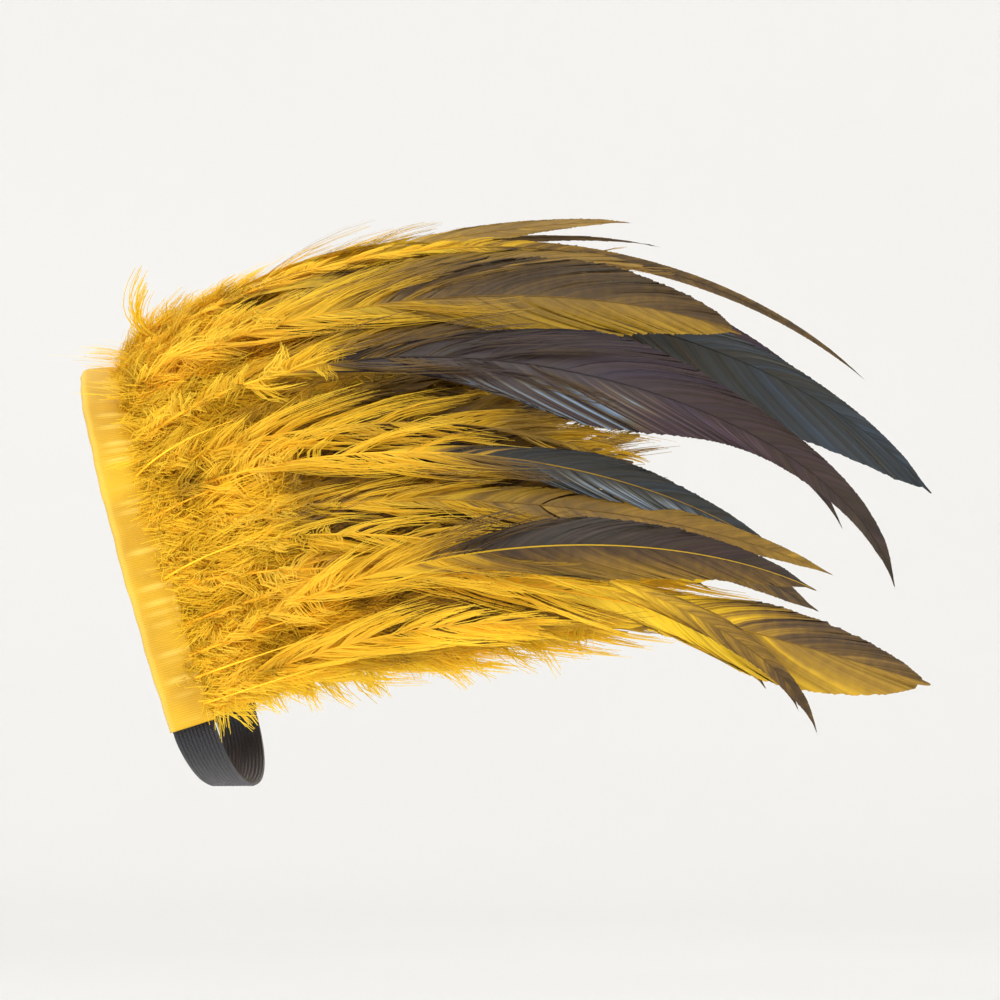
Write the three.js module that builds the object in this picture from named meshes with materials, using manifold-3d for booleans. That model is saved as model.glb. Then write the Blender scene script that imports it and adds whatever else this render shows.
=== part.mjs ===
// Feather epaulette for one shoulder, in millimetres.
// A folded satin tape arches over the shoulder from front to back and holds the quills of a feather fringe.
// The fringe lies in three rows, front, crown and back, each a bed of down with short feathers in it,
// and long tail feathers come out of the down. A flat elastic strap closes the loop under the arm.
// The origin is on the shoulder under the tape's crest. +X runs out over the arm, +Y to the back and +Z up.
import * as THREE from "three";
import { mergeVertices } from "three/addons/utils/BufferGeometryUtils.js";
import Module from "manifold-3d";

const wasm = await Module();
wasm.setup();

// The arch that the tape follows: a half ellipse that leans outwards as it falls and towards the back.
const ARCH_HALF_DEPTH = 52;
const ARCH_HEIGHT = 97;
const ARCH_END_ANGLE = THREE.MathUtils.degToRad(87);
const ARCH_LEAN = 0.32; // run along +X for each mm of fall
const ARCH_YAW = 0.17; // run along +X for each mm towards the back
const CREST_SHARE = 0.5; // shares run along the tape from 0 at its front end to 1 at its back end
const CREST_FLAT = 0.008; // share to each side of the crest that lies flat on the shoulder
const CREST_RUN = new THREE.Vector3(ARCH_YAW, 1, 0).normalize();
const SHARE_TOLERANCE = 1e-9;

// The tape: folded along its neck-side edge, open towards the feathers, its ends turned under.
const TAPE_WIDTH = 13;
const TAPE_WALL = 1;
const TAPE_SLOT = 1.6;
const TAPE_FOLD_BEVEL = 0.6;
const TAPE_STEPS = 60;
const HEM_SHARE = 0.04; // of the tape's length, at each end
const HEM_EXTRA = 0.8;

// The elastic strap, sewn behind the tape's ends.
const STRAP_WIDTH = 11;
const STRAP_THICKNESS = 1.2;
const STRAP_DROP = 17; // below the tape's ends, at the middle
const STRAP_STEPS = 14;
const TAB_SHARE = 0.045;
const TAB_STEPS = 3;

// The fringe. Distances are from the tape's middle line, outwards and up from the surface it rests on.
const GAP = 0.35; // between neighbouring pieces
const FAN_END = THREE.MathUtils.degToRad(4); // how far the rows spread past the tape's ends
const ROW_STEPS = 24;
const LOCKS = 18; // locks of down along the whole tape
const LOCK_REACH = 6;
const LOCK_RELIEF = 0.16;
const CROWN_RISE = 0.42; // how much fuller the down stands at the crest than at the ends, as a share
const ROW_EDGE = TAPE_WIDTH / 2 + GAP;
const QUILL_BAND = {
  from: -TAPE_WIDTH / 2 + TAPE_WALL + GAP,
  low: TAPE_WALL + 0.3,
  high: TAPE_WALL + TAPE_SLOT - 0.3,
};
const DOWN_SECTIONS = [
  { reach: 9, low: 0.5, high: 8 },
  { reach: 16, low: 1, high: 13 },
  { reach: 28, low: 2.5, high: 18 },
  { reach: 44, low: 5, high: 21 },
  { reach: 60, low: 9, high: 19 },
  { reach: 72, low: 13, high: 16 },
];
const FRINGE_ROWS = [
  { name: "front_feather_row", from: 0, to: 0.331, feathers: 8 },
  { name: "crown_feather_row", from: 0.335, to: 0.665, feathers: 8 },
  { name: "back_feather_row", from: 0.669, to: 1, feathers: 8 },
];
const SHORT_FEATHER = {
  reach: 116,
  reachVaries: 20,
  rise: 26,
  droop: 12,
  bow: 9,
  hook: 0.2,
  far: 0.75,
  width: 17,
  height: 9,
};

// Feather blades: share of the length, share of the width, and thickness in mm at the shaft.
const BLADE_SECTIONS = [
  { along: 0.0, width: 0.3, thick: 1.6 },
  { along: 0.14, width: 0.62, thick: 1.6 },
  { along: 0.3, width: 0.88, thick: 1.5 },
  { along: 0.48, width: 1.0, thick: 1.4 },
  { along: 0.64, width: 0.96, thick: 1.3 },
  { along: 0.78, width: 0.78, thick: 1.2 },
  { along: 0.9, width: 0.48, thick: 1.1 },
  { along: 1.0, width: 0.06, thick: 1.0 },
];
const BLADE_EDGE = 0.6; // thickness at a vane's edges
const BLADE_CUP = 0.1; // how far a vane's edges hang below its shaft, as a share of its width
const TAIL_ROOT = 12; // from the tape's middle line to where a tail feather's curve starts

// A shaft's first bend: its place along the chord and its height as a share of the bow.
const SHAFT_NEAR = { along: 0.3, rise: 1.2 };

// The long tail feathers, front end of the tape first. share is the place on the tape, tip where the feather
// ends, bow how far it arches off its chord, hook how much more it does so at its second bend, far the place
// of that bend along the chord, lift the root's height above the tape and roll the turn about the shaft in
// degrees.
const TAIL_FEATHERS = [
  { share: 0.03, tip: [112, -86, -66], bow: 10, hook: 0.2, far: 0.75, width: 11, lift: 8, roll: 10 },
  { share: 0.08, tip: [183, -94, -56], bow: 30, hook: 0.0, far: 0.75, width: 15, lift: 9, roll: 10 },
  { share: 0.11, tip: [180, -74, -88], bow: 34, hook: 0.3, far: 0.9, width: 9, lift: 7, roll: 20 },
  { share: 0.15, tip: [215, -82, -81], bow: 22, hook: -0.5, far: 0.75, width: 19, lift: 9, roll: 10 },
  { share: 0.18, tip: [184, -82, -94], bow: 34, hook: 0.3, far: 0.92, width: 10, lift: 7, roll: 20 },
  { share: 0.21, tip: [188, -88, -52], bow: 18, hook: 0.2, far: 0.75, width: 10, lift: 9, roll: 5 },
  { share: 0.25, tip: [176, -82, -48], bow: 25, hook: 0.2, far: 0.75, width: 17, lift: 10, roll: 8 },
  { share: 0.28, tip: [136, -74, -24], bow: 16, hook: 0.2, far: 0.75, width: 15, lift: 10, roll: 0 },
  { share: 0.33, tip: [206, -72, -56], bow: 50, hook: 0.1, far: 0.93, width: 26, lift: 11, roll: 25 },
  { share: 0.4, tip: [168, -52, 12], bow: 18, hook: 0.1, far: 0.75, width: 20, lift: 13, roll: 40 },
  { share: 0.43, tip: [221, -38, -31], bow: 38, hook: 0.2, far: 0.78, width: 20, lift: 9, roll: 40 },
  { share: 0.46, tip: [205, -20, 0], bow: 35, hook: 0.2, far: 0.75, width: 4, lift: 12, roll: 60 },
  { share: 0.48, tip: [142, -14, 43], bow: 9, hook: 0.0, far: 0.75, width: 11, lift: 14, roll: 25 },
  { share: 0.52, tip: [152, 8, 37], bow: 14, hook: 0.0, far: 0.75, width: 12, lift: 13, roll: 0 },
  { share: 0.56, tip: [206, 24, -12], bow: 34, hook: 0.3, far: 0.75, width: 18, lift: 10, roll: -20 },
  { share: 0.6, tip: [172, 52, 8], bow: 21, hook: 0.1, far: 0.75, width: 17, lift: 12, roll: -30 },
  { share: 0.65, tip: [214, 62, -48], bow: 42, hook: 0.1, far: 0.9, width: 22, lift: 9, roll: -25 },
  { share: 0.71, tip: [170, 84, -28], bow: 22, hook: 0.2, far: 0.75, width: 15, lift: 10, roll: 0 },
  { share: 0.77, tip: [205, 82, -64], bow: 24, hook: 0.1, far: 0.75, width: 17, lift: 9, roll: -8 },
  { share: 0.83, tip: [176, 94, -58], bow: 20, hook: 0.1, far: 0.75, width: 14, lift: 9, roll: -5 },
  { share: 0.89, tip: [190, 84, -86], bow: 28, hook: 0.3, far: 0.9, width: 14, lift: 8, roll: -15 },
  { share: 0.96, tip: [122, 86, -68], bow: 10, hook: 0.3, far: 0.75, width: 11, lift: 8, roll: -10 },
];

const GOLD = new THREE.MeshStandardMaterial({ color: 0xe0ab22, roughness: 0.85, metalness: 0 });
const SATIN = new THREE.MeshStandardMaterial({ color: 0xf0bf38, roughness: 0.45, metalness: 0 });
const BRONZE = new THREE.MeshStandardMaterial({ color: 0x5a4a2c, roughness: 0.5, metalness: 0 });
const ELASTIC = new THREE.MeshStandardMaterial({ color: 0x1b1a1f, roughness: 0.8, metalness: 0 });

// The outward run of the loop's plane at a height and depth.
function planeX(y, z) {
  return ARCH_YAW * y - ARCH_LEAN * z;
}

class TapeLine extends THREE.Curve {
  getPoint(t, target = new THREE.Vector3()) {
    const angle = ARCH_END_ANGLE * (2 * t - 1);
    const y = ARCH_HALF_DEPTH * Math.sin(angle);
    const z = ARCH_HEIGHT * (Math.cos(angle) - 1);
    return target.set(planeX(y, z), y, z);
  }
}

// The strap runs on from the tape's back end, under the arm, to its front end.
class StrapLine extends THREE.Curve {
  constructor(halfDepth, top) {
    super();
    this.halfDepth = halfDepth;
    this.top = top;
  }

  getPoint(t, target = new THREE.Vector3()) {
    const y = this.halfDepth * Math.cos(Math.PI * t);
    const z = this.top - STRAP_DROP * Math.sin(Math.PI * t);
    return target.set(planeX(y, z), y, z);
  }
}

const tapeLine = new TapeLine();

// Axes of a band that runs along a line: out towards the arm, up away from the body.
function bandFrame(point, run) {
  const out = new THREE.Vector3(1, 0, 0).addScaledVector(run, -run.x).normalize();
  const up = new THREE.Vector3().crossVectors(out, run).normalize();
  return { point, run, out, up };
}

function tapeFrame(share) {
  const past = share - CREST_SHARE;
  if (Math.abs(past) < CREST_FLAT + SHARE_TOLERANCE) {
    return bandFrame(CREST_RUN.clone().multiplyScalar(past * tapeLine.getLength()), CREST_RUN.clone());
  }
  return bandFrame(tapeLine.getPointAt(share), tapeLine.getTangentAt(share));
}

function place(frame, outwards, raise) {
  return frame.point.clone().addScaledVector(frame.out, outwards).addScaledVector(frame.up, raise);
}

// A place in the fringe, where the rows fan out past the tape's ends.
function fringePlace(frame, share, outwards, raise) {
  const fan = FAN_END * (2 * share - 1);
  const beyond = Math.max(0, outwards - ROW_EDGE);
  const start = place(frame, Math.min(outwards, ROW_EDGE), raise);
  start.addScaledVector(frame.out, beyond * Math.cos(fan));
  return start.addScaledVector(frame.run, beyond * Math.sin(fan));
}

// A closed skin through rings of equal count. Each ring turns anticlockwise about the way back to the start.
function loft(rings, outline) {
  const count = outline.length;
  const faces = [];
  for (let ring = 0; ring + 1 < rings.length; ring++) {
    for (let i = 0; i < count; i++) {
      const a = ring * count + i;
      const b = ring * count + ((i + 1) % count);
      faces.push(a, a + count, b + count, a, b + count, b);
    }
  }
  const last = (rings.length - 1) * count;
  for (const [a, b, c] of THREE.ShapeUtils.triangulateShape(outline, [])) {
    faces.push(a, b, c, last + c, last + b, last + a);
  }
  const geometry = new THREE.BufferGeometry().setFromPoints(rings.flat());
  geometry.setIndex(faces);
  return geometry;
}

function solidOf(geometry) {
  const merged = mergeVertices(geometry, 1e-4);
  return new wasm.Manifold(
    new wasm.Mesh({
      numProp: 3,
      vertProperties: merged.attributes.position.array,
      triVerts: new Uint32Array(merged.index.array),
    }),
  );
}

function geometryOf(solid) {
  const mesh = solid.getMesh();
  const geometry = new THREE.BufferGeometry();
  geometry.setAttribute("position", new THREE.BufferAttribute(mesh.vertProperties, mesh.numProp));
  geometry.setIndex(new THREE.BufferAttribute(mesh.triVerts, 1));
  return geometry;
}

function largestBody(solid) {
  const bodies = solid.decompose();
  return bodies.reduce((best, body) => (body.volume() > best.volume() ? body : best));
}

// The folded tape's section: inner leaf, fold and outer leaf around the slot that holds the quills.
function tapeOutline(hem) {
  const edge = TAPE_WIDTH / 2;
  const fold = -edge + TAPE_WALL;
  const slotTop = TAPE_WALL + TAPE_SLOT;
  const top = slotTop + TAPE_WALL + hem;
  return [
    new THREE.Vector2(edge, 0),
    new THREE.Vector2(edge, TAPE_WALL),
    new THREE.Vector2(fold, TAPE_WALL),
    new THREE.Vector2(fold, slotTop),
    new THREE.Vector2(edge, slotTop),
    new THREE.Vector2(edge, top),
    new THREE.Vector2(-edge + TAPE_FOLD_BEVEL, top),
    new THREE.Vector2(-edge, top - TAPE_FOLD_BEVEL),
    new THREE.Vector2(-edge, TAPE_FOLD_BEVEL),
    new THREE.Vector2(-edge + TAPE_FOLD_BEVEL, 0),
  ];
}

function tapeStations() {
  const hemmed = [
    [0, HEM_EXTRA],
    [HEM_SHARE, HEM_EXTRA],
    [HEM_SHARE + 0.002, 0],
  ];
  const stations = [...hemmed, ...hemmed.map(([share, hem]) => [1 - share, hem])];
  for (let i = 3; i < TAPE_STEPS - 2; i++) {
    const share = i / TAPE_STEPS;
    if (Math.abs(share - CREST_SHARE) > CREST_FLAT) stations.push([share, 0]);
  }
  stations.push([CREST_SHARE - CREST_FLAT, 0], [CREST_SHARE + CREST_FLAT, 0]);
  return stations.sort((a, b) => a[0] - b[0]);
}

function tapeGeometry() {
  const rings = tapeStations().map(([share, hem]) => {
    const frame = tapeFrame(share);
    return tapeOutline(hem).map((p) => place(frame, p.x, p.y));
  });
  return loft(rings, tapeOutline(0));
}

function bandRing(frame, low) {
  const half = STRAP_WIDTH / 2;
  const high = low + STRAP_THICKNESS;
  return [
    place(frame, -half, low),
    place(frame, half, low),
    place(frame, half, high),
    place(frame, -half, high),
  ];
}

function strapGeometry() {
  const tabLow = -GAP - STRAP_THICKNESS;
  const end = place(tapeFrame(1), 0, tabLow + STRAP_THICKNESS / 2);
  const line = new StrapLine(end.y, end.z);
  const rings = [];
  for (let i = 0; i < TAB_STEPS; i++) {
    rings.push(bandRing(tapeFrame(1 - TAB_SHARE * (1 - i / TAB_STEPS)), tabLow));
  }
  for (let i = 0; i <= STRAP_STEPS; i++) {
    const t = i / STRAP_STEPS;
    rings.push(bandRing(bandFrame(line.getPoint(t), line.getTangent(t)), -STRAP_THICKNESS / 2));
  }
  for (let i = 1; i <= TAB_STEPS; i++) {
    rings.push(bandRing(tapeFrame((TAB_SHARE * i) / TAB_STEPS), tabLow));
  }
  const half = STRAP_WIDTH / 2;
  const outline = [
    new THREE.Vector2(-half, 0),
    new THREE.Vector2(half, 0),
    new THREE.Vector2(half, STRAP_THICKNESS),
    new THREE.Vector2(-half, STRAP_THICKNESS),
  ];
  return loft(rings, outline);
}

// One section of a fringe row: the quills in the tape's slot, then down that swells in locks and thins out.
function rowOutline(share, grow) {
  const lock = Math.cos(2 * Math.PI * LOCKS * share);
  const rise = 1 + CROWN_RISE * tapeFrame(share).up.z ** 2;
  const low = [
    new THREE.Vector2(QUILL_BAND.from - grow, QUILL_BAND.low - grow),
    new THREE.Vector2(ROW_EDGE, QUILL_BAND.low - grow),
  ];
  const high = [
    new THREE.Vector2(QUILL_BAND.from - grow, QUILL_BAND.high + grow),
    new THREE.Vector2(ROW_EDGE, QUILL_BAND.high + grow),
  ];
  for (const section of DOWN_SECTIONS) {
    const swell = 1 + LOCK_RELIEF * lock * (section.reach / DOWN_SECTIONS.at(-1).reach);
    const reach = section === DOWN_SECTIONS.at(-1) ? section.reach + LOCK_REACH * lock + grow : section.reach;
    low.push(new THREE.Vector2(reach, section.low - grow));
    high.push(new THREE.Vector2(reach, section.high * swell * rise + grow));
  }
  return [...low, ...high.reverse()];
}

function downGeometry(row, grow) {
  const ringAt = (share, shift) => {
    const frame = tapeFrame(share);
    frame.point.addScaledVector(frame.run, shift);
    return rowOutline(share, grow).map((p) => fringePlace(frame, share, p.x, p.y));
  };
  const rings = [];
  for (let i = 0; i <= ROW_STEPS; i++) {
    rings.push(ringAt(THREE.MathUtils.lerp(row.from, row.to, i / ROW_STEPS), 0));
  }
  if (grow > 0) {
    rings.unshift(ringAt(row.from, -grow));
    rings.push(ringAt(row.to, grow));
  }
  return loft(rings, rowOutline(row.from, 0));
}

// A feather's shaft: off the tape at its root, arched above the chord and bent down to its tip.
function shaftCurve(root, tip, frame, bend) {
  const arch = frame.up.clone().add(new THREE.Vector3(0, 0, 1)).normalize();
  const near = root.clone().lerp(tip, SHAFT_NEAR.along).addScaledVector(arch, SHAFT_NEAR.rise * bend.bow);
  const far = root.clone().lerp(tip, bend.far).addScaledVector(arch, (1 + bend.hook) * bend.bow);
  return new THREE.CubicBezierCurve3(root, near, far, tip);
}

// The blade's section at a place along the shaft: a thin chevron, thickest along the shaft.
function bladeRing(curve, section, blade, grow) {
  const tangent = curve.getTangent(section.along);
  const side = new THREE.Vector3().crossVectors(tangent, blade.up).normalize();
  const face = new THREE.Vector3().crossVectors(side, tangent).normalize();
  side.applyAxisAngle(tangent, blade.roll);
  face.applyAxisAngle(tangent, blade.roll);
  const half = (blade.width * section.width) / 2 + grow;
  const thick = section.thick / 2 + grow;
  const edge = BLADE_EDGE / 2 + grow;
  const sag = -BLADE_CUP * blade.width * section.width;
  const centre = curve.getPoint(section.along);
  if (section.along === 1) centre.addScaledVector(tangent, grow);
  const at = (across, raise) => centre.clone().addScaledVector(side, across).addScaledVector(face, raise);
  return [
    at(-half, sag - edge),
    at(0, -thick),
    at(half, sag - edge),
    at(half, sag + edge),
    at(0, thick),
    at(-half, sag + edge),
  ];
}

const BLADE_OUTLINE = [
  new THREE.Vector2(-2, -1),
  new THREE.Vector2(0, -2),
  new THREE.Vector2(2, -1),
  new THREE.Vector2(2, 1),
  new THREE.Vector2(0, 2),
  new THREE.Vector2(-2, 1),
];

function bladeGeometry(blade, grow) {
  const rings = BLADE_SECTIONS.map((section) => bladeRing(blade.curve, section, blade, grow));
  return loft(rings, BLADE_OUTLINE);
}

// The short feathers that show at the edge of a row's down, longer and shorter by turns.
function shortFeathers(row) {
  const feathers = [];
  for (let i = 0; i < row.feathers; i++) {
    const share = THREE.MathUtils.lerp(row.from, row.to, (i + 0.5) / row.feathers);
    const frame = tapeFrame(share);
    const reach = SHORT_FEATHER.reach + SHORT_FEATHER.reachVaries * Math.cos(i * 2.4);
    const tip = fringePlace(frame, share, reach, SHORT_FEATHER.rise);
    tip.z -= SHORT_FEATHER.droop * frame.up.z;
    const root = fringePlace(frame, share, DOWN_SECTIONS[1].reach, SHORT_FEATHER.height);
    const curve = shaftCurve(root, tip, frame, SHORT_FEATHER);
    feathers.push({ curve, up: frame.up, width: SHORT_FEATHER.width, roll: 0 });
  }
  return feathers;
}

function tailFeather(entry) {
  const frame = tapeFrame(entry.share);
  const root = fringePlace(frame, entry.share, TAIL_ROOT, entry.lift);
  const tip = new THREE.Vector3(...entry.tip);
  const curve = shaftCurve(root, tip, frame, entry);
  return { curve, up: frame.up, width: entry.width, roll: THREE.MathUtils.degToRad(entry.roll) };
}

function fringeRow(row, grow) {
  const down = solidOf(downGeometry(row, grow));
  return shortFeathers(row).reduce((solid, blade) => solid.add(solidOf(bladeGeometry(blade, grow))), down);
}

const epaulette = new THREE.Group();

function addPiece(name, geometry, material) {
  const mesh = new THREE.Mesh(geometry, material);
  mesh.name = name;
  epaulette.add(mesh);
}

addPiece("header_tape", tapeGeometry(), SATIN);
addPiece("elastic_strap", strapGeometry(), ELASTIC);

// Each piece of the fringe is cut clear of those before it, with a gap all round.
let taken = null;

function addFringePiece(name, makeSolid, material) {
  const whole = makeSolid(0);
  const fitted = taken ? largestBody(whole.subtract(taken)) : whole;
  addPiece(name, geometryOf(fitted), material);
  const kept = makeSolid(GAP);
  taken = taken ? taken.add(kept) : kept;
}

for (const row of FRINGE_ROWS) {
  addFringePiece(row.name, (grow) => fringeRow(row, grow), GOLD);
}
TAIL_FEATHERS.forEach((entry, i) => {
  const name = `tail_feather_${String(i + 1).padStart(2, "0")}`;
  const blade = tailFeather(entry);
  addFringePiece(name, (grow) => solidOf(bladeGeometry(blade, grow)), BRONZE);
});

export default epaulette;
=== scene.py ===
import math

import bpy
import numpy as np
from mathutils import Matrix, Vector


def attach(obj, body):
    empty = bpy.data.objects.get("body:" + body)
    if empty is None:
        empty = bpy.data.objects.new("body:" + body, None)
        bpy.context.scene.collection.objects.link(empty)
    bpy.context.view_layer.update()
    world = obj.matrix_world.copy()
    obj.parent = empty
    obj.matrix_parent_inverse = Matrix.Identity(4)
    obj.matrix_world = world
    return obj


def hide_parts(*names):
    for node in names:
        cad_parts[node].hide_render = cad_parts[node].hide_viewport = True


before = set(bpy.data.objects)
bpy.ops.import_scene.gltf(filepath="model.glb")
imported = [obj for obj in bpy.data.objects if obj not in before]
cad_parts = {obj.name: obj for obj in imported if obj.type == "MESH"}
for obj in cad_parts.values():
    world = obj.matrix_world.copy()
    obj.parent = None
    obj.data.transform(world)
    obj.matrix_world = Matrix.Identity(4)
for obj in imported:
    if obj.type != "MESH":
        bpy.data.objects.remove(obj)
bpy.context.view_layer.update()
print("frame loaded:", len(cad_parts), "nodes")

mm = 0.001

# the arch that the tape follows: share 0 is its front end, 0.5 the crest and 1 its back end
arch = {
    "halfDepth": 52 * mm,
    "height": 97 * mm,
    "endAngle": math.radians(87),
    "lean": 0.32,  # run towards the feathers for each mm of fall
    "yaw": 0.17,  # and for each mm towards the back
    "samples": 2001,
    "angleStep": 1e-4,
}


def unit(v):
    return v / np.maximum(np.linalg.norm(v, axis=-1, keepdims=True), 1e-12)


def ease(low, high, x):
    t = np.clip((x - low) / (high - low), 0, 1)
    return t * t * (3 - 2 * t)


def between(low, high, share):
    return low + (high - low) * share


def runAlong(points):
    # the way gone at each point of a line
    return np.concatenate([[0], np.cumsum(np.linalg.norm(np.diff(points, axis=0), axis=1))])


def planeX(y, z):
    # tape and strap lie in one leaning plane
    return arch["yaw"] * y - arch["lean"] * z


def archPoint(angle):
    y = arch["halfDepth"] * np.sin(angle)
    z = arch["height"] * (np.cos(angle) - 1)
    return np.stack([planeX(y, z), y, z], -1)


archAngles = np.linspace(-arch["endAngle"], arch["endAngle"], arch["samples"])
archRun = runAlong(archPoint(archAngles))
archLength = archRun[-1]


def bandAxes(run):
    out = unit(np.array([1.0, 0, 0]) - run[..., :1] * run)
    return out, unit(np.cross(out, run))


def tapeFrame(share):
    # place on the tape's inner face, way along it, way out to the feathers and way up off the face
    angle = np.interp(np.asarray(share, float) * archLength, archRun, archAngles)
    step = arch["angleStep"]
    run = unit(archPoint(angle + step) - archPoint(angle - step))
    out, up = bandAxes(run)
    return archPoint(angle), run, out, up


# ribbons and tubes are gathered as arrays and made into one mesh for each piece;
# plume holds how dark a spot is, its brightness and the tint of its shine
def newBatch():
    return {"verts": [], "quads": [], "plume": [], "normals": [], "size": 0}


def plumeOf(dark, tone, tint):
    return np.stack(np.broadcast_arrays(dark, tone, tint), -1)


def addGrid(batch, verts, plume, normals=None, closed=False):
    # verts: strips x stations x points across, joined into quads, closed round the section for tubes
    total = verts[..., 0].size
    index = np.arange(total).reshape(verts.shape[:3]) + batch["size"]
    if closed:
        index = np.concatenate([index, index[:, :, :1]], 2)
    if normals is None:
        normals = np.zeros((total, 3))
    quads = [index[:, :-1, :-1], index[:, :-1, 1:], index[:, 1:, 1:], index[:, 1:, :-1]]
    batch["verts"].append(verts.reshape(-1, 3))
    batch["quads"].append(np.stack(quads, -1).reshape(-1, 4))
    batch["plume"].append(plume.reshape(-1, 3))
    batch["normals"].append(normals.reshape(-1, 3))
    batch["size"] += total


def addRibbons(batch, paths, towards, half, plume, normals):
    # flat strands, half as wide as half says, that face the way that towards gives
    across = unit(np.cross(unit(np.gradient(paths, axis=1)), towards)) * half
    verts = np.stack([paths - across, paths + across], 2)
    normals = np.broadcast_to(normals, paths.shape)
    addGrid(batch, verts, np.repeat(plume[:, :, None], 2, 2), np.repeat(normals[:, :, None], 2, 2))


# the layer kept for baking: dark runs across, brightness up, in one band for each step of tint
bakeSheet = {"bands": 7, "margin": 0.02, "bandMargin": 0.1, "dimmest": 0.1, "stops": 3}


def bakeSpots(plume):
    bands = bakeSheet["bands"]
    margin = bakeSheet["margin"]
    bandMargin = bakeSheet["bandMargin"]
    band = np.clip(np.round(plume[:, 2] * (bands - 1)), 0, bands - 1)
    stops = np.log2(np.maximum(plume[:, 1], bakeSheet["dimmest"])) + 1
    level = between(bandMargin, 1 - bandMargin, np.clip(stops / bakeSheet["stops"], 0, 1))
    return np.stack([between(margin, 1 - margin, np.clip(plume[:, 0], 0, 1)), (band + level) / bands], -1)


def makePiece(name, batch, material):
    verts = np.concatenate(batch["verts"])
    quads = np.concatenate(batch["quads"])
    plume = np.concatenate(batch["plume"])
    mesh = bpy.data.meshes.new(name)
    mesh.vertices.add(len(verts))
    mesh.vertices.foreach_set("co", verts.astype(np.float32).ravel())
    mesh.loops.add(quads.size)
    mesh.loops.foreach_set("vertex_index", quads.astype(np.int32).ravel())
    mesh.polygons.add(len(quads))
    mesh.polygons.foreach_set("loop_start", np.arange(0, quads.size, 4, dtype=np.int32))
    mesh.polygons.foreach_set("use_smooth", np.ones(len(quads), bool))
    mesh.update(calc_edges=True)
    # fine barbs are shaded as the soft bundle they lie in; zero leaves a normal as it is
    mesh.normals_split_custom_set_from_vertices(np.concatenate(batch["normals"]).astype(np.float32))
    layer = mesh.attributes.new("plume", "FLOAT_VECTOR", "POINT")
    layer.data.foreach_set("vector", plume.astype(np.float32).ravel())
    spread = mesh.uv_layers.new(name="OFBake")
    spread.data.foreach_set("uv", bakeSpots(plume)[quads.ravel()].astype(np.float32).ravel())
    mesh.materials.append(material)
    piece = bpy.data.objects.new(name, mesh)
    bpy.context.collection.objects.link(piece)
    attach(piece, "root")
    return piece


# a feather's shaft, as thick at its root as its look's quill says
shaft = {"spanSteps": 60, "taper": 0.86, "taperPower": 0.7, "rootTone": 1.2, "tipTone": 1.0}


def shaftLine(spans, count):
    # an even line through Bezier spans of four points each
    t = np.linspace(0, 1, shaft["spanSteps"])[:, None]
    s = 1 - t
    curves = [s**3 * a + 3 * s**2 * t * b + 3 * s * t**2 * c + t**3 * d for a, b, c, d in spans]
    line = np.concatenate([curves[0]] + [curve[1:] for curve in curves[1:]])
    run = runAlong(line)
    even = np.linspace(0, run[-1], count)
    line = np.stack([np.interp(even, run, line[:, i]) for i in range(3)], -1)
    tangent = unit(np.gradient(line, axis=0))
    return {"share": even / run[-1], "length": run[-1], "points": line, "tangent": tangent}


def turnShaft(line, up, roll, twist=0.0):
    side = unit(np.cross(line["tangent"], up))
    face = unit(np.cross(side, line["tangent"]))
    turn = (roll + twist * line["share"])[:, None]
    line["side"] = side * np.cos(turn) - face * np.sin(turn)
    line["face"] = face * np.cos(turn) + side * np.sin(turn)


def at(line, key, share):
    return np.stack([np.interp(share, line["share"], line[key][:, i]) for i in range(3)], -1)


def streaks(rng, count, width):
    # seeded values that neighbours share, one for each barb
    values = np.convolve(rng.normal(size=count + 2 * width), np.hanning(width + 2), "same")[width:-width]
    return values / max(values.std(), 1e-9)


# how a feather darkens from gold to its tip: what its upper vane's root gets, and what streaks do
dyeing = {"upperFrom": 0.35, "streakShift": 0.07, "streakDark": 0.045}


def darkness(look, along, across, hand, streak):
    dark = look["dark"]
    across = np.clip(across, 0, 1)
    most = dark["most"] * (1 - dark["upper"] * hand * between(dyeing["upperFrom"], 1, across))
    streak = look["streak"] * streak
    value = most * ease(dark["from"], dark["to"], along + dyeing["streakShift"] * streak)
    value = value * (1 - dark["goldEdge"] * across**2)
    return np.clip(value + dark["base"] + dyeing["streakDark"] * streak, 0, 1)


def addShaft(batch, line, look, sides):
    share = line["share"]
    radius = look["quill"] * (1 - shaft["taper"] * share ** shaft["taperPower"])[:, None, None]
    turn = np.linspace(0, 2 * math.pi, sides, endpoint=False)[None, :, None]
    ring = line["side"][:, None] * np.cos(turn) + line["face"][:, None] * np.sin(turn)
    verts = line["points"][:, None] + ring * radius
    verts[-1] = line["points"][-1]
    dark = darkness(look, share, 0 * share, 0, 0 * share) * look["shaftDark"]
    tone = look["tone"] * between(shaft["rootTone"], shaft["tipTone"], share)
    plume = plumeOf(dark, tone, look["tint"](share))
    addGrid(batch, verts[None], np.repeat(plume[None, :, None], sides, 2), closed=True)


# the closed part of a feather; pairs are for a firm vane, and what a soft one adds
vane = {
    "rootTo": 0.995,
    "shut": 0.3,  # width where the vane starts, as a share
    "sweepMost": 0.92,
    "splitPower": 1.5,  # more splits near the root
    "groupStretch": (0.015, 0.07),
    "barbStretch": (0.012, 0.05),
    "groupLift": (0.15 * mm, 0.6 * mm),
    "gather": (0.04, 0.15),  # how far a group's barbs draw together
    "curve": 0.4,
    "bulge": 0.3,
    "ridge": 0.05 * mm,
    "streakWide": 11,
    "streakShared": 0.7,
    "streakOwn": 0.5,
    "toneWide": 4,
    "toneOwn": 0.6,
    "toneGold": 0.04,
    "toneDark": 0.1,
    "tintStreak": 0.08,
}
# painted highlights: bright streaks of shine painted into a vane's colour; soft ends, where they start across
# a vane, and how they vary
paintedGlintStreak = {"ends": 0.06, "across": (0.1, 0.45), "wide": 2, "mean": 0.35, "varies": 0.6, "most": 1.6}


def softened(pair, soft):
    return pair[0] + pair[1] * soft


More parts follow.
